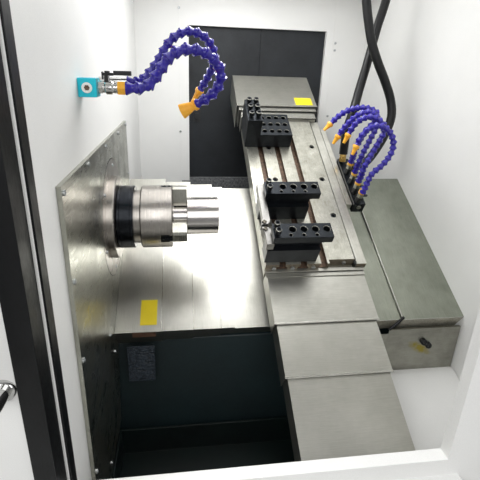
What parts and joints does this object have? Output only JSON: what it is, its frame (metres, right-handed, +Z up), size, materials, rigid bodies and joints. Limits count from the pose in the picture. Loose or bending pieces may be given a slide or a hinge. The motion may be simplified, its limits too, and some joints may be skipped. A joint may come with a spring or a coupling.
{
  "type": "cnc turning lathe",
  "caption": "Slant-bed CNC turning lathe with gang tooling slide, jaw chuck, telescopic covers, coolant hoses and sliding door enclosure",
  "frame": {"origin": "centre of the footprint at floor level", "axes": "+X along the spindle to the right, +Y to the back, +Z up"},
  "size_m": [1.9, 1.6198, 1.75],
  "materials": {
    "white_enamel": "smooth off-white enamel",
    "cast_grey": "painted cast iron",
    "satin_steel": "satin stainless sheet",
    "ground_steel": "ground steel",
    "polished_steel": "polished",
    "black_oxide": "black oxide on steel",
    "dark_enamel": "dark crackle enamel",
    "console_grey": "grey textured enamel",
    "hose_plastic": "glossy moulded acetal",
    "hose_rubber": "matt black rubber",
    "cyan_enamel": "cyan enamel on brass",
    "button_red": "moulded red plastic",
    "window": "laminated window",
    "handle_chrome": "chromed bar"
  },
  "bodies": {
    "machine": {"base_casting": "cast_grey", "headstock": "cast_grey", "bulkhead_plate": "polished_steel", "nose_cover": "polished_steel", "left_wall": "white_enamel", "right_wall": "white_enamel", "back_wall": "white_enamel", "rear_hatch": "dark_enamel", "chip_tray": "dark_enamel", "chip_chute": "white_enamel", "left_cover_1": "satin_steel", "right_cover_1": "satin_steel", "z_motor": "black_oxide", "coolant_valve": "cyan_enamel", "left_hose_1": "hose_plastic", "left_hose_2": "hose_plastic", "front_panel": "white_enamel", "enclosure_hood": "white_enamel", "rear_panel": "white_enamel"},
    "spindle": {"spindle": "ground_steel", "chuck_adapter": "black_oxide", "chuck_body": "polished_steel", "workpiece_bar": "polished_steel"},
    "jaw_1": {"chuck_jaw_1": "ground_steel"},
    "jaw_2": {"chuck_jaw_2": "ground_steel"},
    "jaw_3": {"chuck_jaw_3": "ground_steel"},
    "z_screw": {"z_screw": "ground_steel"},
    "x_screw": {"x_screw": "ground_steel"},
    "saddle": {"saddle": "cast_grey", "x_motor": "black_oxide", "coolant_manifold": "black_oxide", "coolant_hose_1": "hose_plastic", "coolant_hose_2": "hose_plastic", "coolant_hose_3": "hose_plastic", "coolant_hose_4": "hose_plastic", "upper_cover_1": "satin_steel", "lower_cover_3": "satin_steel", "left_cover_4": "satin_steel", "right_cover_2": "satin_steel", "feed_hose_1": "hose_rubber", "feed_hose_2": "hose_rubber"},
    "left_cover_2": {"left_cover_2": "satin_steel"},
    "left_cover_3": {"left_cover_3": "satin_steel"},
    "upper_cover_2": {"upper_cover_2": "satin_steel"},
    "lower_cover_2": {"lower_cover_2": "satin_steel"},
    "slide": {"cross_slide": "ground_steel", "t_slot_plate": "ground_steel", "tool_block_1": "black_oxide", "tool_block_2": "black_oxide", "tool_block_3": "black_oxide", "turning_tool_1": "ground_steel", "turning_tool_2": "ground_steel", "upper_cover_3": "satin_steel", "lower_cover_1": "satin_steel"},
    "door": {"door": "white_enamel", "door_window": "window", "door_handle": "handle_chrome"},
    "control_panel": {"control_panel": "console_grey"},
    "stop_button": {"stop_button": "button_red"},
    "valve_lever": {"valve_lever": "black_oxide"}
  },
  "joints": [
    {"name": "spindle_spin", "type": "hinge", "parent": "machine", "child": "spindle", "pos_m": [-0.2, -0.18, 1], "axis": [1, 0, 0], "continuous": true},
    {"name": "jaw_1_grip", "type": "slide", "parent": "spindle", "child": "jaw_1", "axis": [0, 0.0958, 0.9954], "range_m": [0, 0.003]},
    {"name": "jaw_2_grip", "type": "slide", "parent": "spindle", "child": "jaw_2", "axis": [0, 0.8141, -0.5807], "range_m": [0, 0.003]},
    {"name": "jaw_3_grip", "type": "slide", "parent": "spindle", "child": "jaw_3", "axis": [0, -0.91, -0.4147], "range_m": [0, 0.003]},
    {"name": "z_slide", "type": "slide", "parent": "machine", "child": "saddle", "axis": [1, 0, 0], "range_m": [-0.1, 0.08]},
    {"name": "z_screw_turn", "type": "hinge", "parent": "machine", "child": "z_screw", "pos_m": [0.3, -0.02103, 0.81465], "axis": [1, 0, 0], "range_deg": [-3700, 3000]},
    {"name": "left_cover_2_slide", "type": "slide", "parent": "machine", "child": "left_cover_2", "axis": [1, 0, 0], "range_m": [-0.0352, 0.0282]},
    {"name": "left_cover_3_slide", "type": "slide", "parent": "machine", "child": "left_cover_3", "axis": [1, 0, 0], "range_m": [-0.0642, 0.0514]},
    {"name": "x_slide", "type": "slide", "parent": "saddle", "child": "slide", "axis": [0, 0.866, 0.5], "range_m": [-0.265, 0.01]},
    {"name": "x_screw_turn", "type": "hinge", "parent": "saddle", "child": "x_screw", "pos_m": [0.3305, -0.0965, 0.85537], "axis": [0, 0.866, 0.5], "range_deg": [-9650, 500]},
    {"name": "upper_cover_2_slide", "type": "slide", "parent": "saddle", "child": "upper_cover_2", "axis": [0, 0.866, 0.5], "range_m": [-0.13933, 0.00545]},
    {"name": "lower_cover_2_slide", "type": "slide", "parent": "saddle", "child": "lower_cover_2", "axis": [0, 0.866, 0.5], "range_m": [-0.138, 0.0054]},
    {"name": "door_slide", "type": "slide", "parent": "machine", "child": "door", "axis": [1, 0, 0], "range_m": [0, 0.7]},
    {"name": "panel_swivel", "type": "hinge", "parent": "machine", "child": "control_panel", "pos_m": [0.905, -0.7225, 1.29], "axis": [0, 0, 1], "range_deg": [0, 75]},
    {"name": "stop_button_push", "type": "slide", "parent": "control_panel", "child": "stop_button", "axis": [0, 1, 0], "range_m": [0, 0.005], "stiffness_N_per_m": 600},
    {"name": "valve_lever_turn", "type": "hinge", "parent": "machine", "child": "valve_lever", "pos_m": [-0.178, -0.39, 1.361], "axis": [0, 0, 1], "range_deg": [0, 90]}
  ],
  "couplings": [
    {"joint": "jaw_2_grip", "follows": "jaw_1_grip", "ratio": 1},
    {"joint": "jaw_3_grip", "follows": "jaw_1_grip", "ratio": 1},
    {"joint": "z_screw_turn", "follows": "z_slide", "rad_per_m": 628.32},
    {"joint": "left_cover_2_slide", "follows": "z_slide", "ratio": 0.35},
    {"joint": "left_cover_3_slide", "follows": "z_slide", "ratio": 0.64},
    {"joint": "x_screw_turn", "follows": "x_slide", "rad_per_m": 628.32},
    {"joint": "upper_cover_2_slide", "follows": "x_slide", "ratio": 0.525},
    {"joint": "lower_cover_2_slide", "follows": "x_slide", "ratio": 0.52}
  ]
}
